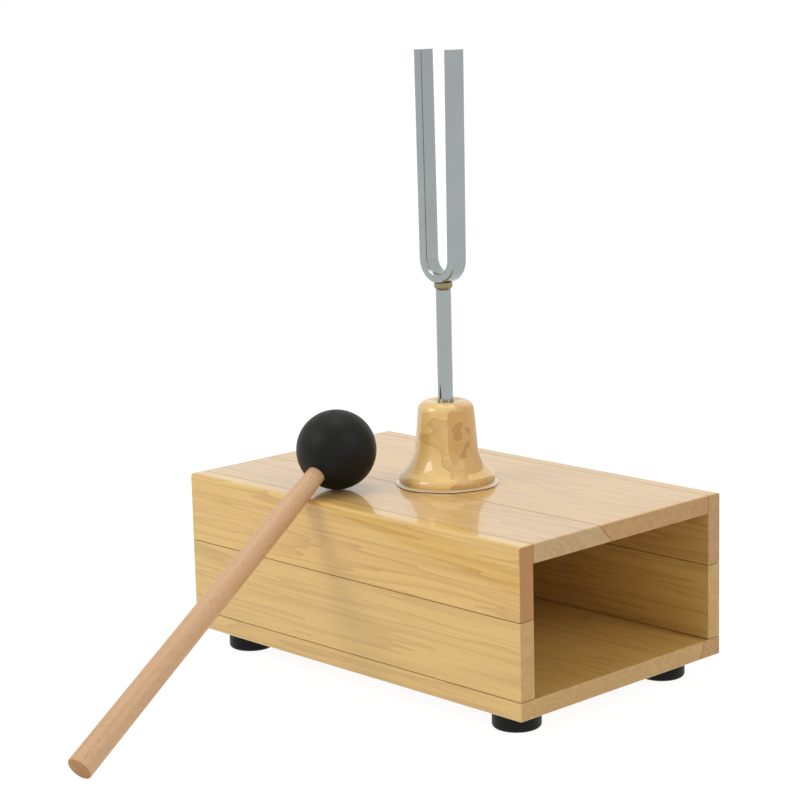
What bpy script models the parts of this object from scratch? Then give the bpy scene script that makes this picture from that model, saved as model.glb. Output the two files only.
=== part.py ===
"""Tuning fork on its wooden resonator box, with the rubber mallet that strikes it.

Metres, +Z up. The origin is the middle of the box's underside, straight below the fork.
The box is open at +X and closed at -X. The mallet leans over the long edge on the -Y side.
"""

import math

import bmesh
import bpy
from mathutils import Matrix, Vector

# Running gap or glue line between two pieces that touch
GAP = 0.0003

# Sound box, outside sizes and board thicknesses
BOX_LENGTH = 0.180
BOX_WIDTH = 0.110
BOX_HEIGHT = 0.063
SIDE_THICKNESS = 0.007
TOP_THICKNESS = 0.007
BOTTOM_THICKNESS = 0.007
END_THICKNESS = 0.007

# Seams where two boards are glued edge to edge
SIDE_SEAM_HEIGHT = 0.0358
TOP_SEAM_FROM_NEAR = 0.0415
TOP_SEAM_LEAN = 0.0070
BOTTOM_SEAM_FROM_FAR = 0.0118
BOTTOM_SEAM_LEAN = 0.0028

# Sanded arrises of the box
TOP_ARRIS_RADIUS = 0.0015
SMALL_ARRIS_RADIUS = 0.0006

# Turned boss that holds the fork
BOSS_HEIGHT = 0.0322
BOSS_BASE_RADIUS = 0.01865
BOSS_BEAD_RADIUS = 0.0032
BOSS_BEAD_HEIGHT = 0.0016
BOSS_WAIST_RADIUS = 0.01195
BOSS_WAIST_HEIGHT = 0.0160
BOSS_NECK_RADIUS = 0.01095
BOSS_TOP_ROUND = 0.0038
SOCKET_DEPTH = 0.0180
SOCKET_DISH_DEPTH = 0.0008
SOCKET_DISH_WIDTH = 0.0026
GLUE_FILLET_WIDTH = 0.0014
GLUE_FILLET_HEIGHT = 0.0010
GLUE_HOLLOW_WIDTH = 0.0005
GLUE_HOLLOW_HEIGHT = 0.0004

# Screw that draws the boss down from inside the box
BOSS_SCREW_LENGTH = 0.0160
BOSS_SCREW_RADIUS = 0.0017
BOSS_SCREW_HEAD_RADIUS = 0.0034
BOSS_SCREW_HEAD_DEPTH = 0.0020

# Rubber feet and their screws
FOOT_RADIUS = 0.0090
FOOT_HEIGHT = 0.0082
FOOT_EDGE_ROUND = 0.0014
FOOT_INSET_X = 0.0165
FOOT_INSET_Y = 0.0150
FOOT_RECESS_DEPTH = 0.0032
FOOT_SCREW_RADIUS = 0.0016
FOOT_SCREW_HEAD_RADIUS = 0.0034
FOOT_SCREW_HEAD_HEIGHT = 0.0020
FOOT_SCREW_RIM_HEIGHT = 0.0012
FOOT_SCREW_CROWN_RADIUS = 0.0024
FOOT_SCREW_BITE = 0.0052
SCREW_POINT_RADIUS = 0.0007

# Fork: a flat bar bent to a U, brazed to a round stem
BAR_THICKNESS = 0.0037
BAR_WIDTH = 0.0074
BAR_EDGE_ROUND = 0.0007
TINE_LENGTH = 0.0880
TINE_GAP = 0.0112
TINE_SPREAD = 0.0013
STEM_RADIUS = 0.00295
STEM_SHOWN = 0.0455
STEM_CHAMFER = 0.0006
BRAZE_RADIUS = 0.0036
BRAZE_TOP_RADIUS = 0.00335
BRAZE_HEIGHT = 0.0023
BRAZE_RISE = 0.0010

# Mallet: a rubber ball on a tapered stick
BALL_RADIUS = 0.0154
BALL_X = -0.0237
STICK_REACH = 0.1700
STICK_HEADING = math.radians(10.9)
STICK_END_RADIUS = 0.00485
STICK_SHOULDER_RADIUS = 0.00425
STICK_SHOULDER_AT = 0.0400
STICK_NOSE_RADIUS = 0.0036
STICK_END_ROUND = 0.0006
STICK_INSERTED = 0.0130

# Facets of the round pieces
BOSS_SIDES = 48
FOOT_SIDES = 32
SCREW_SIDES = 16
STEM_SIDES = 28
BALL_SIDES = 36
STICK_SIDES = 28
BEND_STEPS = 16
BOSS_TOP_STEPS = 5
BOSS_COVE_STEPS = 8
BOSS_BEAD_STEPS = 6
FOOT_EDGE_STEPS = 4
BALL_STEPS = 18
BOARD_ARRIS_STEPS = 3
BAR_ARRIS_STEPS = 2
MERGE_DISTANCE = 0.00001

# Levels and radii that follow from the sizes above
HALF_LENGTH = BOX_LENGTH / 2
HALF_WIDTH = BOX_WIDTH / 2
FLOOR = -(GAP + FOOT_HEIGHT)
INNER_HALF_WIDTH = HALF_WIDTH - SIDE_THICKNESS - GAP
CEILING = BOX_HEIGHT - TOP_THICKNESS
BOSS_FOOT = BOX_HEIGHT + GAP
BOSS_TOP = BOSS_FOOT + BOSS_HEIGHT
SOCKET_RADIUS = STEM_RADIUS + GAP
SOCKET_BOTTOM = BOSS_TOP - SOCKET_DEPTH
FORK_BOTTOM = BOSS_TOP + STEM_SHOWN
BEND_OUTER_RADIUS = TINE_GAP / 2 + BAR_THICKNESS
BEND_CENTRE = FORK_BOTTOM + BEND_OUTER_RADIUS


def clear_scene():
    """Takes away whatever the file opened with."""
    for item in list(bpy.data.objects):
        bpy.data.objects.remove(item, do_unlink=True)
    for group in list(bpy.data.collections):
        bpy.data.collections.remove(group)


def make_collection(name):
    group = bpy.data.collections.new(name)
    bpy.context.scene.collection.children.link(group)
    return group


def make_material(name, colour, roughness, metallic=0.0):
    """A Principled finish of one colour."""
    finish = bpy.data.materials.new(name)
    finish.use_nodes = True
    shader = finish.node_tree.nodes["Principled BSDF"]
    shader.inputs["Base Color"].default_value = (*colour, 1.0)
    shader.inputs["Roughness"].default_value = roughness
    shader.inputs["Metallic"].default_value = metallic
    finish.diffuse_color = (*colour, 1.0)
    return finish


def add_object(name, data, finish=None, parent=None, group=None):
    part = bpy.data.objects.new(name, data)
    (group or PARTS).objects.link(part)
    if finish:
        data.materials.append(finish)
    part.parent = parent
    return part


def add_cutter(name, data):
    cutter = add_object(name, data, group=CUTTERS)
    cutter.hide_render = True
    cutter.display_type = "WIRE"
    return cutter


def cut(part, cutter):
    hole = part.modifiers.new("cut " + cutter.name, "BOOLEAN")
    hole.operation = "DIFFERENCE"
    hole.solver = "EXACT"
    hole.object = cutter


def arc(centre_r, centre_z, radius, start, end, steps):
    """Points of a circular arc in a profile, angles in degrees from +R towards +Z."""
    points = []
    for step in range(steps + 1):
        angle = math.radians(start + (end - start) * step / steps)
        points.append((centre_r + radius * math.cos(angle), centre_z + radius * math.sin(angle)))
    return points


def profile_mesh(name, profile, closed):
    mesh = bpy.data.meshes.new(name)
    edges = [(index, index + 1) for index in range(len(profile) - 1)]
    if closed:
        edges.append((len(profile) - 1, 0))
    mesh.from_pydata([(radius, 0.0, height) for radius, height in profile], edges, [])
    return mesh


def turn(part, sides):
    """Turns the part's profile about its own Z axis."""
    screw = part.modifiers.new("turn", "SCREW")
    screw.axis = "Z"
    screw.angle = 2 * math.pi
    screw.steps = sides
    screw.render_steps = sides
    screw.use_merge_vertices = True
    screw.merge_threshold = MERGE_DISTANCE


def turned_part(name, profile, sides, finish, place=(0, 0, 0), parent=None, closed=False):
    part = add_object(name, profile_mesh(name, profile, closed), finish, parent)
    part.location = place
    turn(part, sides)
    return part


def turned_cutter(name, profile, sides, place):
    cutter = add_cutter(name, profile_mesh(name, profile, False))
    cutter.location = place
    turn(cutter, sides)
    return cutter


def widened(profile, gap):
    """The same turned profile, larger by a gap all round, for the hole it goes into."""
    lowest = min(height for _, height in profile)
    highest = max(height for _, height in profile)
    wider = []
    for radius, height in profile:
        radius_out = radius + gap if radius > 0 else 0.0
        if height == highest:
            height += gap
        elif height == lowest:
            height -= gap
        wider.append((radius_out, height))
    return wider


def board(name, low, high, finish, arrises, lean_low=0.0, lean_high=0.0):
    """A board with chosen outer arrises sanded round.

    arrises maps a pair of sides such as ("-y", "+z") to its radius. lean_low and lean_high
    move the top of the -Y or +Y edge sideways, for a seam that isn't sawn square.
    """
    low, high = Vector(low), Vector(high)
    shape = bmesh.new()
    bmesh.ops.create_cube(shape, size=1.0)
    size = high - low
    middle = (high + low) / 2
    bmesh.ops.transform(shape, matrix=Matrix.Diagonal((*size, 1.0)), verts=shape.verts)
    weights = shape.edges.layers.float.new("bevel_weight_edge")
    for edge in shape.edges:
        centre = (edge.verts[0].co + edge.verts[1].co) / 2
        sides = {
            sign + axis
            for axis, value, half in zip("xyz", centre, size / 2)
            for sign, end in (("-", -half), ("+", half))
            if abs(value - end) < half * 0.01
        }
        for pair, radius in arrises.items():
            if set(pair) == sides:
                edge[weights] = radius / TOP_ARRIS_RADIUS
    for vertex in shape.verts:
        if vertex.co.z > 0:
            vertex.co.y += lean_high if vertex.co.y > 0 else lean_low
    mesh = bpy.data.meshes.new(name)
    shape.to_mesh(mesh)
    shape.free()
    part = add_object(name, mesh, finish)
    part.location = middle
    bevel = part.modifiers.new("sanded arrises", "BEVEL")
    bevel.limit_method = "WEIGHT"
    bevel.width = TOP_ARRIS_RADIUS
    bevel.segments = BOARD_ARRIS_STEPS
    return part


def end_arrises(side):
    """Lightly sanded arrises of one long outer face at both ends of the box."""
    return {(side, "+x"): SMALL_ARRIS_RADIUS, (side, "-x"): SMALL_ARRIS_RADIUS}


def box_boards():
    """The nine boards of the resonator box, open at +X."""
    seam = BOTTOM_SEAM_FROM_FAR
    bottom_ends = end_arrises("-z")
    bottom_near = {("-y", "-z"): SMALL_ARRIS_RADIUS, **bottom_ends, **end_arrises("-y")}
    bottom_far = {("+y", "-z"): SMALL_ARRIS_RADIUS, **bottom_ends, **end_arrises("+y")}
    wide = board(
        "bottom_board_wide",
        (-HALF_LENGTH, -HALF_WIDTH, 0.0),
        (HALF_LENGTH, HALF_WIDTH - seam - GAP, BOTTOM_THICKNESS),
        PALE_WOOD,
        bottom_near,
        lean_high=BOTTOM_SEAM_LEAN,
    )
    board(
        "bottom_board_strip",
        (-HALF_LENGTH, HALF_WIDTH - seam, 0.0),
        (HALF_LENGTH, HALF_WIDTH, BOTTOM_THICKNESS),
        GOLDEN_WOOD,
        bottom_far,
        lean_low=BOTTOM_SEAM_LEAN,
    )
    side_foot = BOTTOM_THICKNESS + GAP
    for place, sign, upper in (("near", -1, ORANGE_WOOD), ("far", 1, GOLDEN_WOOD)):
        face = "-y" if sign < 0 else "+y"
        outer = sign * HALF_WIDTH
        inner = sign * (HALF_WIDTH - SIDE_THICKNESS)
        low_y, high_y = sorted((outer, inner))
        board(
            place + "_side_lower",
            (-HALF_LENGTH, low_y, side_foot),
            (HALF_LENGTH, high_y, SIDE_SEAM_HEIGHT),
            PALE_WOOD,
            end_arrises(face),
        )
        board(
            place + "_side_upper",
            (-HALF_LENGTH, low_y, SIDE_SEAM_HEIGHT + GAP),
            (HALF_LENGTH, high_y, BOX_HEIGHT),
            upper,
            {(face, "+z"): TOP_ARRIS_RADIUS, **end_arrises(face), **end_arrises("+z")},
        )
    seam_low = -HALF_WIDTH + TOP_SEAM_FROM_NEAR + TOP_SEAM_LEAN
    board(
        "top_board_near",
        (-HALF_LENGTH, -INNER_HALF_WIDTH, CEILING),
        (HALF_LENGTH, seam_low, BOX_HEIGHT),
        PALE_WOOD,
        end_arrises("+z"),
        lean_high=-TOP_SEAM_LEAN,
    )
    far = board(
        "top_board_far",
        (-HALF_LENGTH, seam_low + GAP, CEILING),
        (HALF_LENGTH, INNER_HALF_WIDTH, BOX_HEIGHT),
        GOLDEN_WOOD,
        end_arrises("+z"),
        lean_low=-TOP_SEAM_LEAN,
    )
    board(
        "end_board",
        (-HALF_LENGTH, -INNER_HALF_WIDTH, side_foot),
        (-HALF_LENGTH + END_THICKNESS, INNER_HALF_WIDTH, CEILING - GAP),
        PALE_WOOD,
        {},
    )
    return wide, far


def boss_profile(screw):
    """The boss from its socket's floor, over the top, down the outside and in to the screw's hole."""
    bead_r = BOSS_BASE_RADIUS - BOSS_BEAD_RADIUS
    inward = BOSS_WAIST_RADIUS - bead_r
    rise = BOSS_WAIST_HEIGHT - BOSS_BEAD_HEIGHT
    cove = (inward**2 + rise**2 - BOSS_BEAD_RADIUS**2) / (2 * (BOSS_BEAD_RADIUS - inward))
    cove_r = BOSS_WAIST_RADIUS + cove
    touch = math.degrees(math.atan2(rise, cove_r - bead_r))
    bead_foot = -math.degrees(math.asin(BOSS_BEAD_HEIGHT / BOSS_BEAD_RADIUS))
    round_r = BOSS_NECK_RADIUS - BOSS_TOP_ROUND
    dish_r = SOCKET_RADIUS + SOCKET_DISH_WIDTH
    profile = [
        (0.0, BOSS_HEIGHT - SOCKET_DEPTH),
        (SOCKET_RADIUS, BOSS_HEIGHT - SOCKET_DEPTH),
        (SOCKET_RADIUS, BOSS_HEIGHT - SOCKET_DISH_DEPTH),
        (dish_r, BOSS_HEIGHT),
    ]
    top_z = BOSS_HEIGHT - BOSS_TOP_ROUND
    bead = arc(bead_r, BOSS_BEAD_HEIGHT, BOSS_BEAD_RADIUS, touch, bead_foot, BOSS_BEAD_STEPS)
    profile += arc(round_r, top_z, BOSS_TOP_ROUND, 90, 0, BOSS_TOP_STEPS)
    profile += arc(cove_r, BOSS_WAIST_HEIGHT, cove, 180, 180 + touch, BOSS_COVE_STEPS)
    profile += bead[1:]
    pilot = [(radius + GAP, height) for radius, height in screw if height > BOSS_FOOT and radius > 0]
    tip = max(height for _, height in screw) + GAP
    profile += [(pilot[-1][0], 0.0), (pilot[-1][0], tip - BOSS_FOOT), (0.0, tip - BOSS_FOOT)]
    return profile


def boss_screw_profile():
    """A countersunk screw, point up, with its head flush with the ceiling of the box."""
    tip = CEILING + BOSS_SCREW_LENGTH
    taper = 2 * BOSS_SCREW_RADIUS
    return [
        (0.0, tip),
        (SCREW_POINT_RADIUS, tip),
        (BOSS_SCREW_RADIUS, tip - taper),
        (BOSS_SCREW_RADIUS, CEILING + BOSS_SCREW_HEAD_DEPTH),
        (BOSS_SCREW_HEAD_RADIUS, CEILING + GAP),
        (0.0, CEILING + GAP),
    ]


def fork_boss(top_board):
    """The bell-shaped boss, the glue squeezed out round it and its screw."""
    screw = boss_screw_profile()
    turned_part("fork_boss", boss_profile(screw), BOSS_SIDES, BOSS_WOOD, (0, 0, BOSS_FOOT))
    turned_part("boss_screw", screw, SCREW_SIDES, SCREW_STEEL)
    hole = [
        (0.0, BOX_HEIGHT + TOP_THICKNESS),
        (BOSS_SCREW_RADIUS + GAP, BOX_HEIGHT + TOP_THICKNESS),
        (BOSS_SCREW_RADIUS + GAP, CEILING + BOSS_SCREW_HEAD_DEPTH + GAP),
        (BOSS_SCREW_HEAD_RADIUS + 2 * GAP, CEILING - GAP),
        (0.0, CEILING - GAP),
    ]
    cut(top_board, turned_cutter("boss_screw_hole", hole, SCREW_SIDES, (0, 0, 0)))
    inner = BOSS_BASE_RADIUS + GAP
    bead = [
        (inner, GLUE_FILLET_HEIGHT),
        (inner + GLUE_HOLLOW_WIDTH, GLUE_HOLLOW_HEIGHT),
        (inner + GLUE_FILLET_WIDTH, 0.0),
        (inner, 0.0),
    ]
    turned_part("boss_glue_fillet", bead, BOSS_SIDES, GLUE, (0, 0, BOSS_FOOT), closed=True)


def feet(bottom_board):
    """Four rubber feet, each held by a pan-head screw set up into its recess."""
    recess_r = FOOT_SCREW_HEAD_RADIUS + 2 * GAP
    hole_r = FOOT_SCREW_RADIUS + GAP
    ceiling = FOOT_RECESS_DEPTH - FOOT_HEIGHT
    round_r = FOOT_RADIUS - FOOT_EDGE_ROUND
    foot = [(FOOT_RADIUS, 0.0)]
    round_z = FOOT_EDGE_ROUND - FOOT_HEIGHT
    foot += arc(round_r, round_z, FOOT_EDGE_ROUND, 0, -90, FOOT_EDGE_STEPS)
    foot += [(recess_r, -FOOT_HEIGHT), (recess_r, ceiling), (hole_r, ceiling), (hole_r, 0.0)]
    seat = ceiling - GAP
    tip = FOOT_SCREW_BITE
    screw = [
        (0.0, tip),
        (SCREW_POINT_RADIUS, tip),
        (FOOT_SCREW_RADIUS, tip - 2 * FOOT_SCREW_RADIUS),
        (FOOT_SCREW_RADIUS, seat),
        (FOOT_SCREW_HEAD_RADIUS, seat),
        (FOOT_SCREW_HEAD_RADIUS, seat - FOOT_SCREW_RIM_HEIGHT),
        (FOOT_SCREW_CROWN_RADIUS, seat - FOOT_SCREW_HEAD_HEIGHT),
        (0.0, seat - FOOT_SCREW_HEAD_HEIGHT),
    ]
    pilot = [
        (0.0, tip + 2 * GAP),
        (hole_r, tip + 2 * GAP),
        (hole_r, -BOTTOM_THICKNESS),
        (0.0, -BOTTOM_THICKNESS),
    ]
    for end, sign_x in (("open", 1), ("closed", -1)):
        for side, sign_y in (("near", -1), ("far", 1)):
            name = end + "_" + side
            place = (
                sign_x * (HALF_LENGTH - FOOT_INSET_X),
                sign_y * (HALF_WIDTH - FOOT_INSET_Y),
                -GAP,
            )
            turned_part("foot_" + name, foot, FOOT_SIDES, RUBBER, place, closed=True)
            turned_part("foot_screw_" + name, screw, SCREW_SIDES, SCREW_STEEL, place)
            cut(bottom_board, turned_cutter("foot_pilot_" + name, pilot, SCREW_SIDES, place))


def fork_outline():
    """The U of the bar seen from the side, outer edge then inner edge, as (x, z) points."""
    straight = TINE_LENGTH - BEND_OUTER_RADIUS
    splay = math.degrees(math.atan2(TINE_SPREAD / 2, straight))
    lean_x = math.sin(math.radians(splay))
    lean_z = math.cos(math.radians(splay))
    outline = []
    for radius, start, end in (
        (BEND_OUTER_RADIUS, 180 + splay, 360 - splay),
        (BEND_OUTER_RADIUS - BAR_THICKNESS, 360 - splay, 180 + splay),
    ):
        bend = arc(0.0, BEND_CENTRE, radius, start, end, BEND_STEPS)
        reach = (BEND_CENTRE + straight - bend[0][1]) / lean_z
        first = (
            bend[0][0] + math.copysign(reach * lean_x, bend[0][0]),
            bend[0][1] + reach * lean_z,
        )
        last = (
            bend[-1][0] + math.copysign(reach * lean_x, bend[-1][0]),
            bend[-1][1] + reach * lean_z,
        )
        outline += [first, *bend, last]
    return outline


def bar_mesh(outline):
    """The flat outline given the bar's width, with its caps welded."""
    curve = bpy.data.curves.new("bar outline", "CURVE")
    curve.dimensions = "2D"
    curve.fill_mode = "BOTH"
    curve.extrude = BAR_WIDTH / 2
    spline = curve.splines.new("POLY")
    spline.points.add(len(outline) - 1)
    for point, (x, z) in zip(spline.points, outline):
        point.co = (x, z, 0.0, 1.0)
    spline.use_cyclic_u = True
    guide = bpy.data.objects.new("bar outline", curve)
    PARTS.objects.link(guide)
    bpy.context.view_layer.update()
    depsgraph = bpy.context.evaluated_depsgraph_get()
    mesh = bpy.data.meshes.new_from_object(guide.evaluated_get(depsgraph))
    shape = bmesh.new()
    shape.from_mesh(mesh)
    bmesh.ops.remove_doubles(shape, verts=shape.verts, dist=MERGE_DISTANCE)
    bmesh.ops.dissolve_limit(
        shape, angle_limit=math.radians(0.5), verts=shape.verts, edges=shape.edges
    )
    bmesh.ops.recalc_face_normals(shape, faces=shape.faces)
    shape.to_mesh(mesh)
    shape.free()
    bpy.data.objects.remove(guide, do_unlink=True)
    return mesh


def fork():
    """The U-bar, its braze and the stem, which lift out of the boss together."""
    axis = add_object("fork_axis", None)
    axis.location = (0, 0, BOSS_TOP)
    mesh = bar_mesh(fork_outline())
    mesh.name = "fork_bar"
    bar = add_object("fork_bar", mesh, PLATED_STEEL, axis)
    bar.rotation_euler = (math.radians(90), 0, 0)
    bar.location = (0, 0, -BOSS_TOP)
    bevel = bar.modifiers.new("rounded arrises", "BEVEL")
    bevel.width = BAR_EDGE_ROUND
    bevel.segments = BAR_ARRIS_STEPS
    bevel.limit_method = "ANGLE"
    bevel.angle_limit = math.radians(50)

    braze_foot = FORK_BOTTOM - BRAZE_HEIGHT - BOSS_TOP
    braze_top = FORK_BOTTOM + BRAZE_RISE - BOSS_TOP
    bulge = (braze_foot * 2 + braze_top) / 3
    lump = [
        (0.0, braze_top),
        (BRAZE_TOP_RADIUS, braze_top),
        (BRAZE_RADIUS, bulge),
        (STEM_RADIUS, braze_foot),
        (0.0, braze_foot),
    ]
    braze = turned_part("fork_braze", lump, STEM_SIDES, BRAZE, parent=axis)
    shape = bmesh.new()
    bmesh.ops.create_cone(
        shape,
        cap_ends=True,
        segments=4 * BEND_STEPS,
        radius1=BEND_OUTER_RADIUS + GAP,
        radius2=BEND_OUTER_RADIUS + GAP,
        depth=4 * BAR_WIDTH,
    )
    data = bpy.data.meshes.new("bend_space")
    shape.to_mesh(data)
    shape.free()
    bend_space = add_cutter("bend_space", data)
    bend_space.rotation_euler = (math.radians(90), 0, 0)
    bend_space.location = (0, 0, BEND_CENTRE)
    cut(braze, bend_space)

    stem_top = braze_foot - GAP
    stem_end = SOCKET_BOTTOM + GAP - BOSS_TOP
    stem = [
        (0.0, stem_top),
        (STEM_RADIUS, stem_top),
        (STEM_RADIUS, stem_end + STEM_CHAMFER),
        (STEM_RADIUS - STEM_CHAMFER, stem_end),
        (0.0, stem_end),
    ]
    turned_part("fork_stem", stem, STEM_SIDES, PLATED_STEEL, parent=axis)


def mallet_tilt():
    """How far the stick dips below level, from the ball on the box to its end on the floor."""
    drop = BOX_HEIGHT + BALL_RADIUS - FLOOR
    reach = math.hypot(STICK_REACH, STICK_END_RADIUS)
    return math.asin(drop / reach) - math.atan2(STICK_END_RADIUS, STICK_REACH)


def ball_centre():
    """Where the ball rests, so that the stick just clears the box's near top edge."""
    tilt = mallet_tilt()
    height = BALL_RADIUS + GAP - STICK_SHOULDER_RADIUS / math.cos(tilt)
    inset = height / math.tan(tilt) * math.cos(STICK_HEADING)
    return Vector((BALL_X, inset - HALF_WIDTH, BOX_HEIGHT + GAP + BALL_RADIUS))


def mallet():
    """The ball on the box and the stick that leans from it to the floor."""
    tilt = mallet_tilt()
    along = Vector(
        (
            math.sin(STICK_HEADING) * math.cos(tilt),
            -math.cos(STICK_HEADING) * math.cos(tilt),
            -math.sin(tilt),
        )
    )
    axis = add_object("mallet_axis", None)
    axis.location = ball_centre()
    axis.rotation_euler = along.to_track_quat("Z", "Y").to_euler()

    bore_r = STICK_NOSE_RADIUS + GAP
    bore_floor = BALL_RADIUS - STICK_INSERTED - GAP
    mouth = math.degrees(math.acos(bore_r / BALL_RADIUS))
    ball = [(0.0, bore_floor), (bore_r, bore_floor)]
    ball += arc(0.0, 0.0, BALL_RADIUS, mouth, -90, BALL_STEPS)[:-1]
    ball.append((0.0, -BALL_RADIUS))
    turned_part("mallet_ball", ball, BALL_SIDES, RUBBER, parent=axis)

    stick = [
        (0.0, STICK_REACH),
        (STICK_END_RADIUS - STICK_END_ROUND, STICK_REACH),
        (STICK_END_RADIUS, STICK_REACH - STICK_END_ROUND),
        (STICK_SHOULDER_RADIUS, STICK_SHOULDER_AT),
        (STICK_NOSE_RADIUS, BALL_RADIUS),
        (STICK_NOSE_RADIUS, BALL_RADIUS - STICK_INSERTED),
        (0.0, BALL_RADIUS - STICK_INSERTED),
    ]
    turned_part("mallet_stick", stick, STICK_SIDES, BEECH, parent=axis)


clear_scene()
PARTS = make_collection("tuning_fork_with_resonator_box")
CUTTERS = make_collection("cutters")
GOLDEN_WOOD = make_material("golden wood", (0.62, 0.41, 0.16), 0.30)
PALE_WOOD = make_material("pale wood", (0.68, 0.49, 0.24), 0.32)
ORANGE_WOOD = make_material("orange wood", (0.60, 0.36, 0.12), 0.30)
BOSS_WOOD = make_material("turned wood", (0.66, 0.44, 0.17), 0.28)
BEECH = make_material("beech", (0.66, 0.43, 0.25), 0.50)
GLUE = make_material("clear glue", (0.80, 0.74, 0.62), 0.15)
RUBBER = make_material("black rubber", (0.015, 0.015, 0.015), 0.55)
PLATED_STEEL = make_material("plated steel", (0.62, 0.64, 0.65), 0.18, 1.0)
BRAZE = make_material("braze", (0.30, 0.26, 0.16), 0.45, 0.8)
SCREW_STEEL = make_material("screw steel", (0.50, 0.50, 0.50), 0.30, 1.0)

bottom, top = box_boards()
fork_boss(top)
feet(bottom)
fork()
mallet()
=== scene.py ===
"""Looks of a tuning fork on its resonator box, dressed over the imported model.

Metres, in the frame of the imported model: the box is open at +X, the mallet leans on -Y.
"""

import logging
import math
from dataclasses import dataclass, field
from enum import Enum
from typing import Union

import bmesh
import bpy
from mathutils import Matrix, Vector


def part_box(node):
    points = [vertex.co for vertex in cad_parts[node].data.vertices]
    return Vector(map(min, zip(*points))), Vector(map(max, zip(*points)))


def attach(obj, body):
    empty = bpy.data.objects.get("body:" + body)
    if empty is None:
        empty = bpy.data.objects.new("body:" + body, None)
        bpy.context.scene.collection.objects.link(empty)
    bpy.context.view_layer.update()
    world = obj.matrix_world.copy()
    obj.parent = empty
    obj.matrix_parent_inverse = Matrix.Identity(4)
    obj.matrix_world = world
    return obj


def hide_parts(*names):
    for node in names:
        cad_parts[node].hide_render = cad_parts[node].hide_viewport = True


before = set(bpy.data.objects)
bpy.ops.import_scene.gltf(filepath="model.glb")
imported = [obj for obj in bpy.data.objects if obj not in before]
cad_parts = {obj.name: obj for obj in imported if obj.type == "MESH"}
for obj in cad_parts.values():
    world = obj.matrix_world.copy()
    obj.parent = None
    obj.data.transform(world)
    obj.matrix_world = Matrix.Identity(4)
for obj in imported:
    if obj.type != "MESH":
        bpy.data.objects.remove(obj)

LOG = logging.getLogger("tuning_fork")
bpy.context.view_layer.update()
SHARP_ANGLE = math.radians(38)
WELD = 0.00001
NOISE_ROUGHNESS = 0.55
Colour = tuple[float, float, float]
Profile = list[tuple[float, float]]
Value = Union["Signal", float, int, tuple]


class Body(Enum):
    """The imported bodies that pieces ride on."""

    BOX = "resonator_box"
    FORK = "fork"
    MALLET = "mallet"


class Signal:
    """A shader socket that takes part in Python arithmetic."""

    def __init__(self, graph: "Graph", socket: bpy.types.NodeSocket) -> None:
        """Wraps one output socket of a graph."""
        self.graph = graph
        self.socket = socket

    def _math(self, operation: str, first: Value, second: Value) -> "Signal":
        """One Math node on two values."""
        return self.graph.node("ShaderNodeMath", {"operation": operation}, {0: first, 1: second})

    def __add__(self, other: Value) -> "Signal":
        """self + other."""
        return self._math("ADD", self, other)

    def __radd__(self, other: Value) -> "Signal":
        """other + self."""
        return self._math("ADD", other, self)

    def __sub__(self, other: Value) -> "Signal":
        """self - other."""
        return self._math("SUBTRACT", self, other)

    def __rsub__(self, other: Value) -> "Signal":
        """other - self."""
        return self._math("SUBTRACT", other, self)

    def __mul__(self, other: Value) -> "Signal":
        """self * other."""
        return self._math("MULTIPLY", self, other)

    def __rmul__(self, other: Value) -> "Signal":
        """other * self."""
        return self._math("MULTIPLY", other, self)

    def __pow__(self, other: Value) -> "Signal":
        """self ** other."""
        return self._math("POWER", self, other)

    def __gt__(self, other: Value) -> "Signal":
        """1 where self is greater than other, and 0 elsewhere."""
        return self._math("GREATER_THAN", self, other)

    def fraction(self) -> "Signal":
        """What is left after the whole part, which turns a slope into bands."""
        return self._math("FRACT", self, 0.0)

    def size(self) -> "Signal":
        """The value without its sign."""
        return self._math("ABSOLUTE", self, 0.0)


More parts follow.
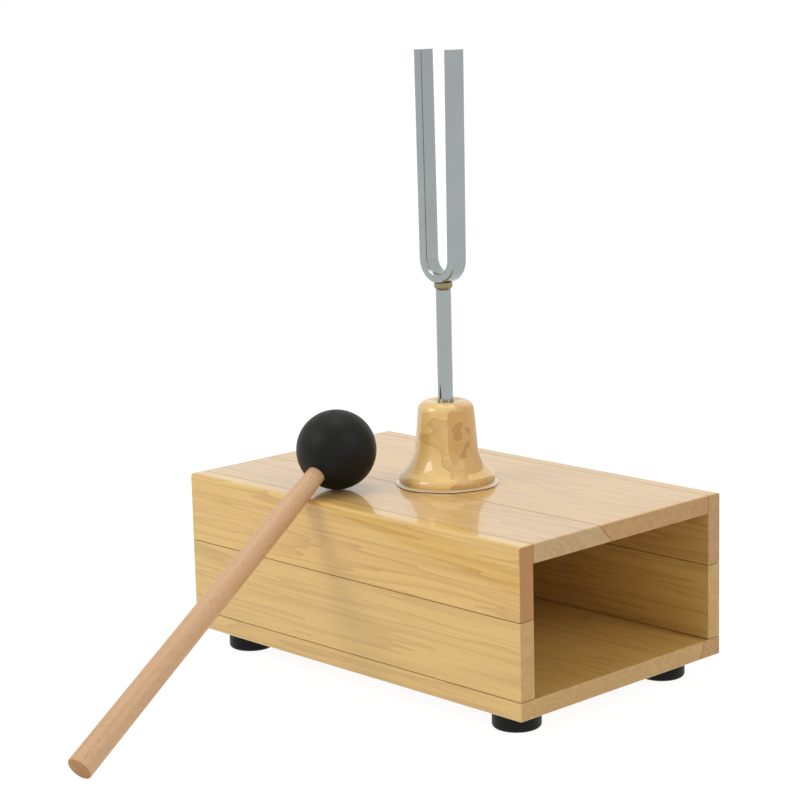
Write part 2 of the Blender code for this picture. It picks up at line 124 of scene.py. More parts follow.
class Graph:
    """A node tree to which any node is added in one call."""

    def __init__(self, tree: bpy.types.NodeTree) -> None:
        """Starts on an existing tree."""
        self.tree = tree

    def node(self, kind: str, settings: dict | None = None, values: dict | None = None,
             output: int | str = 0) -> Signal:
        """Adds a node, sets it up and links it.

        Args:
            kind: the node's type.
            settings: its own properties, set before its sockets.
            values: numbers, colours or signals by socket name or index.
            output: the socket that is handed back.

        Returns:
            The chosen output as a signal.
        """
        made = self.tree.nodes.new(kind)
        for name, value in (settings or {}).items():
            setattr(made, name, value)
        for key, value in (values or {}).items():
            if isinstance(value, Signal):
                self.tree.links.new(value.socket, made.inputs[key])
            else:
                made.inputs[key].default_value = value
        return Signal(self, made.outputs[output])

    def close(self, kind: str, values: dict) -> None:
        """Adds an output node, which has no sockets to hand back.

        Args:
            kind: the node's type.
            values: signals by socket name or index.
        """
        end = self.tree.nodes.new(kind)
        for key, value in values.items():
            self.tree.links.new(value.socket, end.inputs[key])

    def blend(self, factor: Value, first: Value, second: Value) -> Signal:
        """A colour between two others, by a factor from 0 to 1."""
        settings = {"data_type": "RGBA", "clamp_factor": True}
        return self.node("ShaderNodeMix", settings, {0: factor, 6: first, 7: second}, 2)

    def place(self, turn: tuple = (0.0, 0.0, 0.0), centre: tuple = (0.0, 0.0, 0.0)) -> Signal:
        """Object coordinates, seen from a centre and along turned axes.

        Args:
            turn: the axes' turn, as Euler angles.
            centre: the point that becomes the origin.

        Returns:
            The coordinates.
        """
        where = self.node("ShaderNodeTexCoord", {}, {}, "Object")
        values = {0: where, 1: centre, 2: turn}
        return self.node("ShaderNodeMapping", {"vector_type": "TEXTURE"}, values)

    def noise(self, place: Signal, scale: tuple, offset: float, detail: float = 3.0) -> Signal:
        """Noise with cells one over scale long, in metres, along each axis.

        Args:
            place: the coordinates that it is read at.
            scale: cells to the metre along each axis.
            offset: a shift that gives each noise its own cells.
            detail: how many finer layers are added.

        Returns:
            The noise, from 0 to 1.
        """
        where = self.node("ShaderNodeMapping", {}, {0: place, 1: (offset,) * 3, 3: scale})
        values = {"Vector": where, "Scale": 1.0, "Detail": detail, "Roughness": NOISE_ROUGHNESS}
        return self.node("ShaderNodeTexNoise", {}, values)

    def facing(self, direction: tuple) -> Signal:
        """How squarely a surface faces along or against a direction.

        Args:
            direction: a unit vector.

        Returns:
            A number from 0 to 1.
        """
        normal = self.node("ShaderNodeTexCoord", {}, {}, "Normal")
        values = {0: normal, 1: direction}
        return self.node("ShaderNodeVectorMath", {"operation": "DOT_PRODUCT"}, values, 1).size()

    def bump(self, height: Signal, strength: float, depth: float) -> Signal:
        """A normal roughened by a height, for Principled's Normal socket."""
        values = {"Height": height, "Strength": strength, "Distance": depth}
        return self.node("ShaderNodeBump", {}, values)


def rgba(colour: Colour) -> tuple:
    """A colour with full cover."""
    return (*colour, 1.0)


@dataclass(frozen=True)
class Finish:
    """What every finish has: a name and a shader built from nodes."""

    name: str

    def material(self) -> bpy.types.Material:
        """The finish as a material, made once.

        Returns:
            The material.
        """
        found = bpy.data.materials.get(self.name)
        if found:
            return found
        made = bpy.data.materials.new(self.name)
        made.use_nodes = True
        made.node_tree.nodes.clear()
        graph = Graph(made.node_tree)
        graph.close("ShaderNodeOutputMaterial", {"Surface": self.surface(graph)})
        return made

    def surface(self, graph: Graph) -> Signal:
        """The shader itself, given by each kind of finish."""
        raise NotImplementedError


@dataclass(frozen=True)
class VarnishedWood(Finish):
    """Straight-grained wood under gloss varnish, with its end grain across the fibres."""

    light: Colour
    dark: Colour
    end: Colour
    seed: float
    turn: tuple = (0.0, 0.0, 0.0)
    centre: tuple = (0.0, 0.0, 0.0)
    fibre: tuple = (1.0, 0.0, 0.0)
    ring_scale: tuple = (2.6, 46.0, 62.0)
    fibre_scale: tuple = (16.0, 900.0, 900.0)
    fleck_scale: tuple = (60.0, 700.0, 700.0)
    ring_count: float = 13.0
    ring_strength: float = 0.42
    ring_sharpness: float = 2.4
    fibre_strength: float = 0.30
    fleck_strength: float = 0.0
    fleck_limit: float = 0.64
    patch_scale: tuple = (5.0, 24.0, 24.0)
    patch_middle: float = 0.45
    patch_strength: float = 0.55
    pore_scale: tuple = (300.0, 1100.0, 1100.0)
    pore_strength: float = 0.4
    end_ring_count: float = 0.8
    end_ring_strength: float = 0.45
    end_limit: float = 0.75
    coat: float = 0.8
    coat_roughness: float = 0.05
    end_coat_loss: float = 0.45
    roughness: float = 0.36
    roughness_change: float = 0.12
    bump_strength: float = 0.10
    bump_depth: float = 0.00012
    ring_relief: float = 0.3

    def surface(self, graph: Graph) -> Signal:
        """Growth rings, fibres and slow patches mixed from the two wood colours.

        Args:
            graph: the material's graph.

        Returns:
            The Principled shader.
        """
        place = graph.place(self.turn, self.centre)
        slow = graph.noise(place, self.ring_scale, self.seed)
        rings = (slow * self.ring_count).fraction() ** self.ring_sharpness
        fibres = graph.noise(place, self.fibre_scale, self.seed + 3.0, 4.0)
        patches = graph.noise(place, self.patch_scale, self.seed + 7.0, 2.0)
        flecks = graph.noise(place, self.fleck_scale, self.seed + 11.0, 1.0) > self.fleck_limit
        amount = rings * self.ring_strength + (fibres - 0.5) * self.fibre_strength * 2.0
        amount = amount + (patches - self.patch_middle) * self.patch_strength + flecks * self.fleck_strength
        long_grain = graph.blend(amount, rgba(self.light), rgba(self.dark))
        pores = graph.noise(place, self.pore_scale, self.seed + 5.0, 3.0)
        end_rings = (slow * self.ring_count * self.end_ring_count).fraction()
        end_amount = end_rings * self.end_ring_strength + pores * self.pore_strength
        end_grain = graph.blend(end_amount, rgba(self.end), rgba(self.dark))
        is_end = graph.facing(self.fibre) > self.end_limit
        change = self.roughness_change
        relief = fibres + rings * self.ring_relief
        values = {
            "Base Color": graph.blend(is_end, long_grain, end_grain),
            "Roughness": self.roughness + fibres * change + is_end * change,
            "Coat Weight": self.coat - is_end * (self.coat * self.end_coat_loss),
            "Coat Roughness": self.coat_roughness,
            "Normal": graph.bump(relief, self.bump_strength, self.bump_depth),
        }
        return graph.node("ShaderNodeBsdfPrincipled", {}, values)


@dataclass(frozen=True)
class Rubber(Finish):
    """Matt black moulded rubber with a faint bloom."""

    colour: Colour = (0.005, 0.005, 0.0045)
    roughness: float = 0.42
    shine: float = 0.16
    grain_scale: float = 2600.0
    grain_strength: float = 0.12
    grain_depth: float = 0.00006
    bloom_scale: float = 90.0
    bloom_lift: float = 1.9
    bloom_roughness: float = 0.12

    def surface(self, graph: Graph) -> Signal:
        """A dull black with fine moulding grain.

        Args:
            graph: the material's graph.

        Returns:
            The Principled shader.
        """
        place = graph.place()
        grain = graph.noise(place, (self.grain_scale,) * 3, 1.0, 3.0)
        bloom = graph.noise(place, (self.bloom_scale,) * 3, 4.0, 2.0)
        pale = tuple(channel * self.bloom_lift for channel in self.colour)
        values = {
            "Base Color": graph.blend(bloom, rgba(self.colour), rgba(pale)),
            "Roughness": self.roughness + bloom * self.bloom_roughness,
            "Specular IOR Level": self.shine,
            "Normal": graph.bump(grain, self.grain_strength, self.grain_depth),
        }
        return graph.node("ShaderNodeBsdfPrincipled", {}, values)


@dataclass(frozen=True)
class Metal(Finish):
    """Metal with fine lines left by polishing along one direction."""

    colour: Colour
    tint: Colour
    roughness: float
    line_scale: tuple = (1500.0, 1500.0, 40.0)
    line_strength: float = 0.05
    metallic: float = 1.0
    line_roughness: float = 0.12
    line_depth: float = 0.00004
    cloud_scale: float = 70.0
    cloud_tint: float = 0.8
    cloud_roughness: float = 0.05

    def surface(self, graph: Graph) -> Signal:
        """Polishing lines in the roughness and bump, and slow changes of tint.

        Args:
            graph: the material's graph.

        Returns:
            The Principled shader.
        """
        place = graph.place()
        lines = graph.noise(place, self.line_scale, 2.0, 4.0)
        cloud = graph.noise(place, (self.cloud_scale,) * 3, 6.0, 3.0)
        streaks = (lines - 0.5) * self.line_roughness
        values = {
            "Base Color": graph.blend(cloud * self.cloud_tint, rgba(self.colour), rgba(self.tint)),
            "Roughness": self.roughness + streaks + cloud * self.cloud_roughness,
            "Metallic": self.metallic,
            "Normal": graph.bump(lines, self.line_strength, self.line_depth),
        }
        return graph.node("ShaderNodeBsdfPrincipled", {}, values)


@dataclass(frozen=True)
class Glue(Finish):
    """Dried clear glue over varnished wood."""

    colour: Colour = (0.56, 0.40, 0.20)
    ripple_scale: float = 420.0
    ripple_lift: float = 1.25
    ripple_strength: float = 0.35
    ripple_depth: float = 0.0002
    roughness: float = 0.10
    roughness_change: float = 0.08
    coat_roughness: float = 0.04

    def surface(self, graph: Graph) -> Signal:
        """A glossy, uneven bead that takes the wood's colour.

        Args:
            graph: the material's graph.

        Returns:
            The Principled shader.
        """
        ripple = graph.noise(graph.place(), (self.ripple_scale,) * 3, 2.0, 2.0)
        pale = tuple(min(1.0, channel * self.ripple_lift) for channel in self.colour)
        values = {
            "Base Color": graph.blend(ripple, rgba(self.colour), rgba(pale)),
            "Roughness": self.roughness + ripple * self.roughness_change,
            "Coat Weight": 1.0,
            "Coat Roughness": self.coat_roughness,
            "Normal": graph.bump(ripple, self.ripple_strength, self.ripple_depth),
        }
        return graph.node("ShaderNodeBsdfPrincipled", {}, values)


PALE = VarnishedWood(
    "pale varnished wood",
    light=(0.76, 0.50, 0.15), dark=(0.44, 0.23, 0.05), end=(0.60, 0.38, 0.13), seed=2.0,
)
PALE_TOP = VarnishedWood(
    "pale varnished top",
    light=(0.68, 0.43, 0.16), dark=(0.40, 0.21, 0.06), end=(0.56, 0.40, 0.18), seed=9.0,
)
GOLDEN = VarnishedWood(
    "golden varnished wood",
    light=(0.68, 0.42, 0.13), dark=(0.38, 0.18, 0.04), end=(0.52, 0.30, 0.10), seed=15.0,
)
ORANGE = VarnishedWood(
    "orange varnished wood",
    light=(0.78, 0.50, 0.14), dark=(0.44, 0.21, 0.04), end=(0.42, 0.17, 0.035), seed=23.0,
)
TURNED = VarnishedWood(
    "turned varnished wood",
    light=(0.84, 0.56, 0.19), dark=(0.42, 0.22, 0.05), end=(0.76, 0.48, 0.16), seed=31.0,
    ring_scale=(14.0, 40.0, 36.0), fibre_scale=(60.0, 900.0, 900.0), ring_count=6.0, ring_strength=0.45,
)
RUBBER = Rubber("moulded rubber")
STEEL = Metal("bright plated steel", (0.36, 0.39, 0.39), (0.28, 0.31, 0.31), 0.13)
BRAZE = Metal("brazing bead", (0.36, 0.30, 0.17), (0.20, 0.16, 0.08), 0.34, (500.0,) * 3, 0.4, 0.85)
SCREWS = Metal("screw steel", (0.50, 0.50, 0.50), (0.40, 0.40, 0.41), 0.28, (900.0,) * 3, 0.1)
GLUE = Glue("clear glue")

NODE_FINISHES: dict[str, Finish] = {
    "bottom_board_wide": PALE,
    "bottom_board_strip": GOLDEN,
    "near_side_lower": PALE,
    "near_side_upper": ORANGE,
    "far_side_lower": PALE,
    "far_side_upper": GOLDEN,
    "top_board_near": PALE_TOP,
    "top_board_far": GOLDEN,
    "end_board": PALE,
    "boss_screw": SCREWS,
    "foot_screw_open_near": SCREWS,
    "foot_screw_open_far": SCREWS,
    "foot_screw_closed_near": SCREWS,
    "foot_screw_closed_far": SCREWS,
}


def arc(centre: tuple, radius: float, start: float, end: float, steps: int) -> Profile:
    """Points of a circular arc in a profile.

    Args:
        centre: its centre, as distance from the axis and height.
        radius: its radius.
        start: first angle in degrees, from outward towards up.
        end: last angle in degrees.
        steps: number of chords.

    Returns:
        The points, both ends included.
    """
    angles = [math.radians(start + (end - start) * step / steps) for step in range(steps + 1)]
    return [(centre[0] + radius * math.cos(a), centre[1] + radius * math.sin(a)) for a in angles]


def smooth(mesh: bpy.types.Mesh) -> bpy.types.Mesh:
    """Shades a mesh smooth, with its sharp corners kept.

    Args:
        mesh: the mesh, changed in place.

    Returns:
        The same mesh.
    """
    mesh.polygons.foreach_set("use_smooth", [True] * len(mesh.polygons))
    mesh.set_sharp_from_angle(angle=SHARP_ANGLE)
    mesh.update()
    return mesh


def lathe(name: str, profile: Profile, sides: int, where: Matrix, closed: bool = False) -> bpy.types.Mesh:
    """A turned shape as a closed mesh, with one vertex at each pole.

    Args:
        name: the mesh's name.
        profile: points as distance from the axis and height.
        sides: facets round the axis.
        where: the turned shape's place.
        closed: whether the profile ends where it starts, as for a ring.

    Returns:
        The mesh, shaded smooth.
    """
    shape = bmesh.new()
    rings = []
    for radius, height in profile:
        if radius < WELD:
            rings.append([shape.verts.new((0.0, 0.0, height))] * sides)
            continue
        angles = [2 * math.pi * side / sides for side in range(sides)]
        points = [(radius * math.cos(a), radius * math.sin(a), height) for a in angles]
        rings.append([shape.verts.new(point) for point in points])
    if closed:
        rings.append(rings[0])
    for lower, upper in zip(rings, rings[1:]):
        for side in range(sides):
            after = (side + 1) % sides
            corners = [lower[side], lower[after], upper[after], upper[side]]
            unique = list(dict.fromkeys(corners))
            if len(unique) > 2:
                shape.faces.new(unique)
    bmesh.ops.recalc_face_normals(shape, faces=shape.faces)
    mesh = bpy.data.meshes.new(name)
    shape.to_mesh(mesh)
    shape.free()
    mesh.transform(where)
    return smooth(mesh)


def add_piece(name: str, mesh: bpy.types.Mesh, finish: Finish, body: Body,
              nodes: list[str]) -> None:
    """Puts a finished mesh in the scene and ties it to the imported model.

    Args:
        name: the piece's name.
        mesh: its mesh, already in place.
        finish: its finish.
        body: the body that it rides on.
        nodes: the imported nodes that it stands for.
    """
    mesh.materials.clear()
    mesh.materials.append(finish.material())
    piece = bpy.data.objects.new(name, mesh)
    bpy.context.scene.collection.objects.link(piece)
    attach(piece, body.value)
    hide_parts(*nodes)
    LOG.info("%s: %d faces on %s", name, len(mesh.polygons), body.value)


class Pattern:
    """A Geometry Nodes tree with named inputs, run once and turned into a plain mesh."""

    def __init__(self, name: str) -> None:
        """Starts an empty tree with a mesh going in and a mesh coming out.

        Args:
            name: the tree's name.
        """
        self.tree = bpy.data.node_groups.new(name, "GeometryNodeTree")
        self.tree.interface.new_socket("Geometry", in_out="INPUT", socket_type="NodeSocketGeometry")
        self.tree.interface.new_socket("Geometry", in_out="OUTPUT", socket_type="NodeSocketGeometry")
        self.graph = Graph(self.tree)
        self.entry = self.tree.nodes.new("NodeGroupInput")
        self.identifiers: dict[str, str] = {}

    def size(self, name: str) -> Signal:
        """Adds a length as a named input of the tree.

        Args:
            name: the input's name.

        Returns:
            The length, for use in the tree.
        """
        kind = "NodeSocketFloat"
        socket = self.tree.interface.new_socket(name, in_out="INPUT", socket_type=kind)
        self.identifiers[name] = socket.identifier
        return Signal(self.graph, self.entry.outputs[name])

    def source(self) -> Signal:
        """The mesh that the tree works on."""
        return Signal(self.graph, self.entry.outputs["Geometry"])

    def finish(self, geometry: Signal, finish: Finish) -> None:
        """Ends the tree with real geometry in one material.

        Args:
            geometry: what the tree made.
            finish: its finish.
        """
        real = self.graph.node("GeometryNodeRealizeInstances", {}, {0: geometry})
        values = {"Geometry": real, "Material": finish.material()}
        dressed = self.graph.node("GeometryNodeSetMaterial", {}, values)
        self.graph.close("NodeGroupOutput", {0: dressed})

    def run(self, guide: bpy.types.Mesh, sizes: dict[str, float], name: str) -> bpy.types.Mesh:
        """Runs the tree on a guide mesh.

        Args:
            guide: the mesh that goes in.
            sizes: a length for each named input.
            name: the new mesh's name.

        Returns:
            The result as a plain mesh.
        """
        host = bpy.data.objects.new(name + "_guide", guide)
        bpy.context.scene.collection.objects.link(host)
        modifier = host.modifiers.new("pattern", "NODES")
        modifier.node_group = self.tree
        for label, value in sizes.items():
            modifier[self.identifiers[label]] = value
        bpy.context.view_layer.update()
        depsgraph = bpy.context.evaluated_depsgraph_get()
        mesh = bpy.data.meshes.new_from_object(host.evaluated_get(depsgraph))
        mesh.name = name
        bpy.data.objects.remove(host, do_unlink=True)
        return smooth(mesh)


@dataclass
class Boss:
    """The turned boss, with the ring of glue squeezed out round its foot."""

    base_radius: float = 0.01865
    bead_radius: float = 0.0032
    bead_height: float = 0.0016
    waist_radius: float = 0.01195
    waist_height: float = 0.0160
    neck_radius: float = 0.01095
    top_round: float = 0.0038
    socket_radius: float = 0.00325
    socket_depth: float = 0.0180
    dish_width: float = 0.0026
    dish_depth: float = 0.0008
    glue_width: float = 0.0010
    glue_height: float = 0.0008
    glue_tuck: float = 0.0002
    glue_steps: tuple = (0.15, 0.3, 0.45, 0.6, 0.75, 0.9, 1.0)
    glue_swell: float = 0.75
    glue_waves: tuple = ((0.5, 3, 0.6), (0.3, 7, 0.0))
    sides: int = 96
    top_steps: int = 12
    cove_steps: int = 24
    bead_steps: int = 14

    def profile(self, height: float) -> Profile:
        """The boss's outline, from the socket's floor over the top to its foot.

        Args:
            height: the boss's height.

        Returns:
            Points as distance from the axis and height.
        """
        bead_r = self.base_radius - self.bead_radius
        inward = self.waist_radius - bead_r
        rise = self.waist_height - self.bead_height
        cove = (inward**2 + rise**2 - self.bead_radius**2) / (2 * (self.bead_radius - inward))
        touch = math.degrees(math.atan2(rise, self.waist_radius + cove - bead_r))
        foot = -math.degrees(math.asin(self.bead_height / self.bead_radius))
        outline = [
            (0.0, height - self.socket_depth),
            (self.socket_radius, height - self.socket_depth),
            (self.socket_radius, height - self.dish_depth),
            (self.socket_radius + self.dish_width, height),
        ]
        shoulder = (self.neck_radius - self.top_round, height - self.top_round)
        outline += arc(shoulder, self.top_round, 90, 0, self.top_steps)
        waist = (self.waist_radius + cove, self.waist_height)
        outline += arc(waist, cove, 180, 180 + touch, self.cove_steps)
        outline += arc((bead_r, self.bead_height), self.bead_radius, touch, foot, self.bead_steps)[1:]
        return outline + [(0.0, 0.0)]

    def build(self) -> None:
        """Makes the boss and its glue."""
        low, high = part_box("fork_boss")
        where = Matrix.Translation((0.0, 0.0, low.z))
        mesh = lathe("boss_turned", self.profile(high.z - low.z), self.sides, where)
        add_piece("boss_turned", mesh, TURNED, Body.BOX, ["fork_boss"])
        inner = self.base_radius - self.glue_tuck
        bead = [(inner, self.glue_height)]
        bead += [
            (self.base_radius + self.glue_width * share, self.glue_height * (1 - share) ** 2)
            for share in self.glue_steps
        ]
        bead.append((inner, 0.0))
        ring = lathe("glue_ring", bead, self.sides, where, closed=True)
        for vertex in ring.vertices:
            angle = math.atan2(vertex.co.y, vertex.co.x)
            spread = math.hypot(vertex.co.x, vertex.co.y) - inner
            waves = sum(share * math.sin(count * angle + phase) for share, count, phase in self.glue_waves)
            swell = 1 + spread / inner * self.glue_swell * waves
            vertex.co.x *= swell
            vertex.co.y *= swell
        add_piece("glue_ring", ring, GLUE, Body.BOX, ["boss_glue_fillet"])


@dataclass
class Feet:
    """Four moulded rubber feet, one made and set at each corner."""

    height: float = 0.0082
    radius: float = 0.0090
    edge_round: float = 0.0014
    recess_depth: float = 0.0032
    recess_radius: float = 0.0040
    hole_radius: float = 0.0019
    top_break: float = 0.0003
    edge_steps: int = 8
    sides: int = 64
    nodes: list[str] = field(
        default_factory=lambda: ["foot_open_near", "foot_open_far", "foot_closed_near", "foot_closed_far"]
    )

    def build(self) -> None:
        """Makes one foot and sets it at the four corners with a tree."""
        ceiling = self.recess_depth - self.height
        outline = [(self.radius - self.top_break, 0.0), (self.radius, -self.top_break)]
        edge = (self.radius - self.edge_round, self.edge_round - self.height)
        outline += arc(edge, self.edge_round, 0, -90, self.edge_steps)
        outline += [(self.recess_radius, -self.height), (self.recess_radius, ceiling)]
        outline += [(self.hole_radius, ceiling), (self.hole_radius, 0.0)]
        foot = lathe("one_foot", outline, self.sides, Matrix.Identity(4), closed=True)
        model = bpy.data.objects.new("one_foot", foot)
        low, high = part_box("foot_closed_near")
        far_low, far_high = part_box("foot_open_far")
        first = (low + high) / 2
        last = (far_low + far_high) / 2
        pattern = Pattern("feet at the corners")
        span_x = pattern.size("Span Along")
        span_y = pattern.size("Span Across")
        level = pattern.size("Level")
        grid_values = {"Size X": span_x, "Size Y": span_y, "Vertices X": 2, "Vertices Y": 2}
        corners = pattern.graph.node("GeometryNodeMeshGrid", {}, grid_values)
        height = pattern.graph.node("ShaderNodeCombineXYZ", {}, {2: level})
        raised = pattern.graph.node("GeometryNodeSetPosition", {}, {"Geometry": corners, "Offset": height})
        shape = pattern.graph.node("GeometryNodeObjectInfo", {}, {"Object": model}, "Geometry")
        values = {"Points": raised, "Instance": shape}
        placed = pattern.graph.node("GeometryNodeInstanceOnPoints", {}, values)
        pattern.finish(placed, RUBBER)
        sizes = {"Span Along": last.x - first.x, "Span Across": last.y - first.y, "Level": high.z}
        mesh = pattern.run(bpy.data.meshes.new("feet_guide"), sizes, "rubber_feet")
        bpy.data.objects.remove(model, do_unlink=True)
        add_piece("rubber_feet", mesh, RUBBER, Body.BOX, self.nodes)


@dataclass
class Fork:
    """The bent bar, its brazed seat and its stem."""

    thickness: float = 0.0037
    gap: float = 0.0112
    spread: float = 0.0013
    edge_round: float = 0.0009
    stem_radius: float = 0.00295
    stem_chamfer: float = 0.0006
    braze_radius: float = 0.0036
    braze_flare: float = 0.0003
    braze_flare_at: float = 0.12
    braze_shoulder: float = 0.0001
    braze_shoulder_at: float = 0.34
    braze_widest_at: float = 0.55
    braze_lip: float = 0.0002
    braze_wave_height: float = 0.00012
    braze_wave_count: int = 4
    braze_clearance: float = 0.00005
    bend_steps: int = 40
    edge_steps: int = 5
    sides: int = 72

    def path(self, bottom: float, top: float) -> bpy.types.Mesh:
        """The middle line of the bar: up one tine, round the bend and up the other.

        Args:
            bottom: the level of the bend's underside.
            top: the level of the tips.

        Returns:
            A mesh of edges in the XZ plane.
        """
        outer = self.gap / 2 + self.thickness
        middle = outer - self.thickness / 2
        centre = bottom + outer
        splay = math.atan2(self.spread / 2, top - centre)
        degrees = math.degrees(splay)
        bend = arc((0.0, centre), middle, 180 + degrees, 360 - degrees, self.bend_steps)
        reach = (top - bend[0][1]) / math.cos(splay)
        shift = reach * math.sin(splay)
        points = [(bend[0][0] - shift, top), *bend, (bend[-1][0] + shift, top)]
        mesh = bpy.data.meshes.new("fork_path")
        edges = [(index, index + 1) for index in range(len(points) - 1)]
        mesh.from_pydata([(x, 0.0, z) for x, z in points], edges, [])
        return mesh

    def bar(self) -> None:
        """Sweeps the rounded bar along its path with a tree."""
        low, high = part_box("fork_bar")
        pattern = Pattern("bar along its path")
        width = pattern.size("Bar Width")
        thickness = pattern.size("Bar Thickness")
        edge_round = pattern.size("Edge Round")
        path = pattern.graph.node("GeometryNodeMeshToCurve", {}, {0: pattern.source()})
        section = pattern.graph.node("GeometryNodeCurvePrimitiveQuadrilateral", {}, {0: width, 1: thickness})
        values = {"Curve": section, "Radius": edge_round, "Count": self.edge_steps}
        rounded = pattern.graph.node("GeometryNodeFilletCurve", {"mode": "POLY"}, values)
        values = {"Curve": path, "Profile Curve": rounded, "Fill Caps": True}
        swept = pattern.graph.node("GeometryNodeCurveToMesh", {}, values)
        pattern.finish(swept, STEEL)
        sizes = {"Bar Width": high.y - low.y, "Bar Thickness": self.thickness, "Edge Round": self.edge_round}
        mesh = pattern.run(self.path(low.z, high.z), sizes, "fork_bent_bar")
        shape = bmesh.new()
        shape.from_mesh(mesh)
        bmesh.ops.remove_doubles(shape, verts=shape.verts, dist=WELD)
        bmesh.ops.recalc_face_normals(shape, faces=shape.faces)
        shape.to_mesh(mesh)
        shape.free()
        across = max(v.co.y for v in mesh.vertices) - min(v.co.y for v in mesh.vertices)
        if abs(across - (high.y - low.y)) > self.thickness / 10:
            raise ValueError(f"the bar is turned on its path: {across:.4f} m across")
        add_piece("fork_bent_bar", smooth(mesh), STEEL, Body.FORK, ["fork_bar"])

    def seat(self) -> None:
        """The braze between the stem and the bend, hollowed to the bar above it."""
        low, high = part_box("fork_braze")
        bar_low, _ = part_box("fork_bar")
        outer = self.gap / 2 + self.thickness
        centre = bar_low.z + outer
        height = high.z - low.z
        profile = [
            (0.0, 0.0),
            (self.stem_radius, 0.0),
            (self.stem_radius + self.braze_flare, height * self.braze_flare_at),
            (self.braze_radius - self.braze_shoulder, height * self.braze_shoulder_at),
            (self.braze_radius, height * self.braze_widest_at),
            (self.braze_radius - self.braze_lip, height),
            (self.braze_radius * 0.5, height),
            (0.0, height),
        ]
        mesh = lathe("braze_bead", profile, self.sides, Matrix.Translation((0.0, 0.0, low.z)))
        for vertex in mesh.vertices:
            angle = math.atan2(vertex.co.y, vertex.co.x)
            share = min(1.0, (vertex.co.z - low.z) / height * 2)
            vertex.co.z += self.braze_wave_height * math.sin(self.braze_wave_count * angle) * share
            surface = centre - math.sqrt(outer**2 - vertex.co.x**2)
            vertex.co.z = min(vertex.co.z, surface - self.braze_clearance)
        add_piece("braze_bead", smooth(mesh), BRAZE, Body.FORK, ["fork_braze"])

    def stem(self) -> None:
        """The round stem down into its socket."""
        low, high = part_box("fork_stem")
        profile = [
            (0.0, low.z),
            (self.stem_radius - self.stem_chamfer, low.z),
            (self.stem_radius, low.z + self.stem_chamfer),
            (self.stem_radius, high.z),
            (0.0, high.z),
        ]
        mesh = lathe("round_stem", profile, self.sides, Matrix.Identity(4))
        add_piece("round_stem", mesh, STEEL, Body.FORK, ["fork_stem"])

    def build(self) -> None:
        """Makes the bar, its seat and the stem."""
        self.bar()
        self.seat()
        self.stem()


@dataclass
class Mallet:
    """The rubber ball on its tapered stick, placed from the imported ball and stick."""

    ball_radius: float = 0.0154
    end_radius: float = 0.00485
    shoulder_radius: float = 0.00425
    shoulder_at: float = 0.0400
    nose_radius: float = 0.0036
    inserted: float = 0.0130
    end_round: float = 0.0007
    nub_radius: float = 0.0011
    nub_height: float = 0.00035
    nub_direction: tuple = (0.05, -0.10, 1.0)
    skin_from: float = 0.98
    bore_clearance: float = 0.0001
    ball_sides: int = 96
    ball_steps: int = 60
    stick_sides: int = 72
    end_steps: int = 5

    def axis(self) -> tuple[Vector, Vector, float]:
        """Where the mallet is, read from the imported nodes.

        Returns:
            The ball's centre, the direction down the stick and the stick's reach.
        """
        low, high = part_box("mallet_ball")
        centre = (low + high) / 2
        points = [vertex.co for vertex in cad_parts["mallet_stick"].data.vertices]
        middle = sum(points, Vector()) / len(points)
        along = (middle - centre).normalized()
        reach = max((point - centre).dot(along) for point in points)
        return centre, along, reach

    def build(self) -> None:
        """Makes the ball and the stick."""
        centre, along, reach = self.axis()
        turn = along.to_track_quat("Z", "Y")
        where = Matrix.Translation(centre) @ turn.to_matrix().to_4x4()
        bore = self.nose_radius + self.bore_clearance
        mouth = math.degrees(math.acos(bore / self.ball_radius))
        floor = self.ball_radius - self.inserted
        ball = [(0.0, floor), (bore, floor)]
        ball += arc((0.0, 0.0), self.ball_radius, mouth, -90, self.ball_steps)[:-1]
        ball.append((0.0, -self.ball_radius))
        mesh = lathe("rubber_ball", ball, self.ball_sides, where)
        up = Vector(self.nub_direction).normalized()
        for vertex in mesh.vertices:
            offset = vertex.co - centre
            away = (offset.normalized() - up).length * self.ball_radius
            if offset.length > self.ball_radius * self.skin_from and away < self.nub_radius:
                vertex.co += up * self.nub_height * (1 - (away / self.nub_radius) ** 2)
        add_piece("rubber_ball", mesh, RUBBER, Body.MALLET, ["mallet_ball"])
        stick = [(0.0, reach), (self.end_radius - self.end_round, reach)]
        corner = (self.end_radius - self.end_round, reach - self.end_round)
        stick += arc(corner, self.end_round, 90, 0, self.end_steps)[1:]
        stick += [
            (self.shoulder_radius, self.shoulder_at),
            (self.nose_radius, self.ball_radius),
            (self.nose_radius, self.ball_radius - self.inserted),
            (0.0, self.ball_radius - self.inserted),
        ]
        mesh = lathe("beech_stick", stick, self.stick_sides, where)
        euler = along.to_track_quat("X", "Z").to_euler()
        beech = VarnishedWood(
            "bare beech",
            light=(0.62, 0.38, 0.20), dark=(0.38, 0.19, 0.08), end=(0.50, 0.24, 0.07), seed=41.0,
            turn=tuple(euler), centre=tuple(centre), fibre=tuple(along),
            ring_scale=(6.0, 150.0, 150.0), fleck_scale=(420.0, 1700.0, 1700.0), fleck_strength=0.35,
            ring_count=4.0, ring_strength=0.20, fibre_strength=0.22, coat=0.15, coat_roughness=0.3,
            roughness=0.46,
        )
        add_piece("beech_stick", mesh, beech, Body.MALLET, ["mallet_stick"])


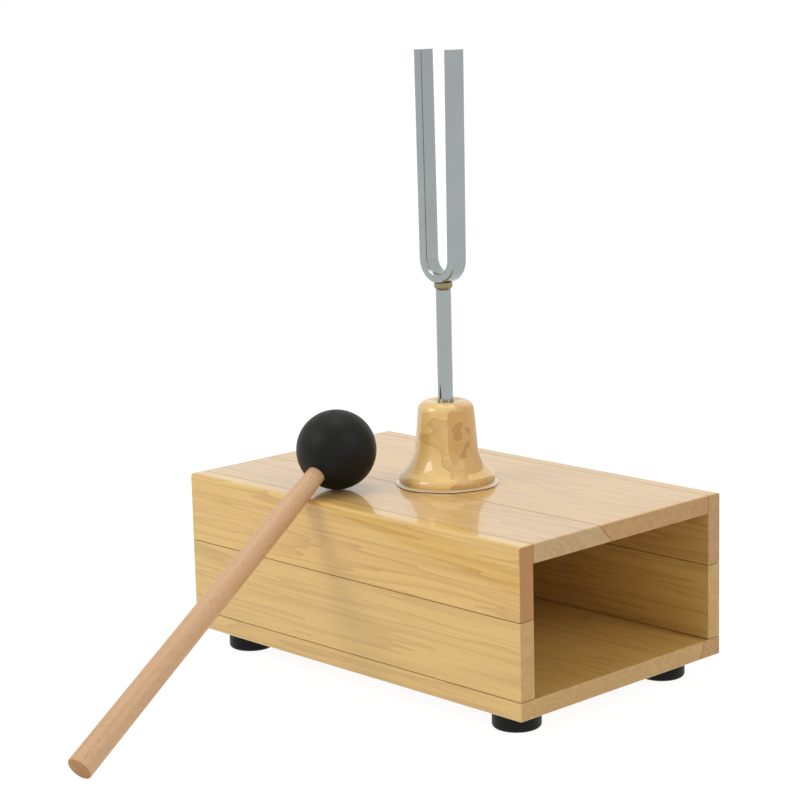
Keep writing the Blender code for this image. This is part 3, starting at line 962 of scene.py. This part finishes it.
@dataclass
class Studio:
    """Pale floor, white surround, soft lamps and the photograph's camera."""

    floor_size: float = 30.0
    floor_colour: Colour = (0.86, 0.86, 0.86)
    floor_white: float = 0.80
    floor_glow: float = 1.16
    lamps: tuple = (
        ("left softbox", (-0.7, -1.5, 1.2), 0.8, 11.0),
        ("right softbox", (1.5, 0.2, 1.1), 0.8, 6.0),
        ("top softbox", (-0.2, 0.2, 1.8), 1.0, 8.0),
    )
    lamp_aim: tuple = (0.0, 0.0, 0.08)
    ambient: float = 0.55
    camera_place: tuple = (0.6220, -0.6138, 0.2637)
    azimuth: float = math.radians(46.53)
    elevation: float = math.radians(10.87)
    roll: float = math.radians(-1.393)
    focal_pixels: float = 2313.7
    image_size: float = 800.0
    sensor: float = 36.0

    def camera(self) -> None:
        """A camera that sees the object as the photograph does."""
        a, e, r = self.azimuth, self.elevation, self.roll
        level = Vector((math.cos(a), math.sin(a), 0.0))
        view = Vector((-math.sin(a) * math.cos(e), math.cos(a) * math.cos(e), -math.sin(e)))
        lift = level.cross(view)
        right = level * math.cos(r) + lift * math.sin(r)
        up = lift * math.cos(r) - level * math.sin(r)
        data = bpy.data.cameras.new("camera")
        data.sensor_width = self.sensor
        data.lens = self.focal_pixels / self.image_size * self.sensor
        seen = bpy.data.objects.new("camera", data)
        turn = Matrix((right, up, -view)).transposed().to_4x4()
        seen.matrix_world = Matrix.Translation(self.camera_place) @ turn
        bpy.context.scene.collection.objects.link(seen)
        bpy.context.scene.camera = seen

    def surround(self) -> None:
        """White to the eye and in reflections, and a plain level of light elsewhere."""
        world = bpy.data.worlds.new("surround")
        bpy.context.scene.world = world
        world.use_nodes = True
        world.node_tree.nodes.clear()
        graph = Graph(world.node_tree)
        shown = self.shown_white(graph)
        colour = graph.blend(shown, rgba((self.ambient,) * 3), rgba((1.0, 1.0, 1.0)))
        light = graph.node("ShaderNodeBackground", {}, {"Color": colour, "Strength": 1.0})
        graph.close("ShaderNodeOutputWorld", {"Surface": light})

    @staticmethod
    def shown_white(graph: Graph) -> Signal:
        """Tells what is seen from what only lights the object.

        Args:
            graph: the graph that asks.

        Returns:
            1 for what the camera, a reflection or a clear piece sees, and 0 for other light.
        """
        seen = graph.node("ShaderNodeLightPath", {}, {}, "Is Camera Ray")
        mirrored = graph.node("ShaderNodeLightPath", {}, {}, "Is Glossy Ray")
        clear = graph.node("ShaderNodeLightPath", {}, {}, "Is Transmission Ray")
        return (seen + mirrored + clear) > 0.5

    def floor(self) -> None:
        """A plain floor that keeps the shadow and goes to white round it."""
        half = self.floor_size / 2
        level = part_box("foot_open_near")[0].z
        corners = [(-half, -half, level), (half, -half, level), (half, half, level), (-half, half, level)]
        mesh = bpy.data.meshes.new("floor")
        mesh.from_pydata(corners, [], [(0, 1, 2, 3)])
        finish = bpy.data.materials.new("floor")
        finish.use_nodes = True
        finish.node_tree.nodes.clear()
        graph = Graph(finish.node_tree)
        paper = graph.node("ShaderNodeBsdfDiffuse", {}, {"Color": rgba(self.floor_colour)})
        values = {"Color": rgba((1.0, 1.0, 1.0)), "Strength": self.floor_glow}
        white = graph.node("ShaderNodeEmission", {}, values)
        share = self.shown_white(graph) * self.floor_white
        surface = graph.node("ShaderNodeMixShader", {}, {0: share, 1: paper, 2: white})
        graph.close("ShaderNodeOutputMaterial", {"Surface": surface})
        mesh.materials.append(finish)
        ground = bpy.data.objects.new("floor", mesh)
        bpy.context.scene.collection.objects.link(ground)

    def lamp(self, name: str, place: tuple, size: float, power: float) -> None:
        """A soft square lamp that looks at the box.

        Args:
            name: the lamp's name.
            place: where it stands.
            size: the length of its side.
            power: its power in watts.
        """
        data = bpy.data.lights.new(name, "AREA")
        data.size = size
        data.energy = power
        lamp = bpy.data.objects.new(name, data)
        away = Vector(place) - Vector(self.lamp_aim)
        turn = away.to_track_quat("Z", "Y").to_matrix().to_4x4()
        lamp.matrix_world = Matrix.Translation(place) @ turn
        bpy.context.scene.collection.objects.link(lamp)

    def build(self) -> None:
        """Sets the camera, floor, surround and lamps."""
        bpy.context.scene.view_settings.view_transform = "Standard"
        self.camera()
        self.surround()
        self.floor()
        for name, place, size, power in self.lamps:
            self.lamp(name, place, size, power)


def dress_nodes() -> None:
    """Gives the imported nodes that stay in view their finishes."""
    for name, finish in NODE_FINISHES.items():
        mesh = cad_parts[name].data
        mesh.materials.clear()
        mesh.materials.append(finish.material())
        LOG.info("%s: dressed as %s", name, finish.name)


def main() -> None:
    """Builds the pieces in order."""
    logging.basicConfig(level=logging.INFO, format="%(message)s")
    dress_nodes()
    Boss().build()
    Feet().build()
    Fork().build()
    Mallet().build()
    Studio().build()


if __name__ == "__main__":
    main()
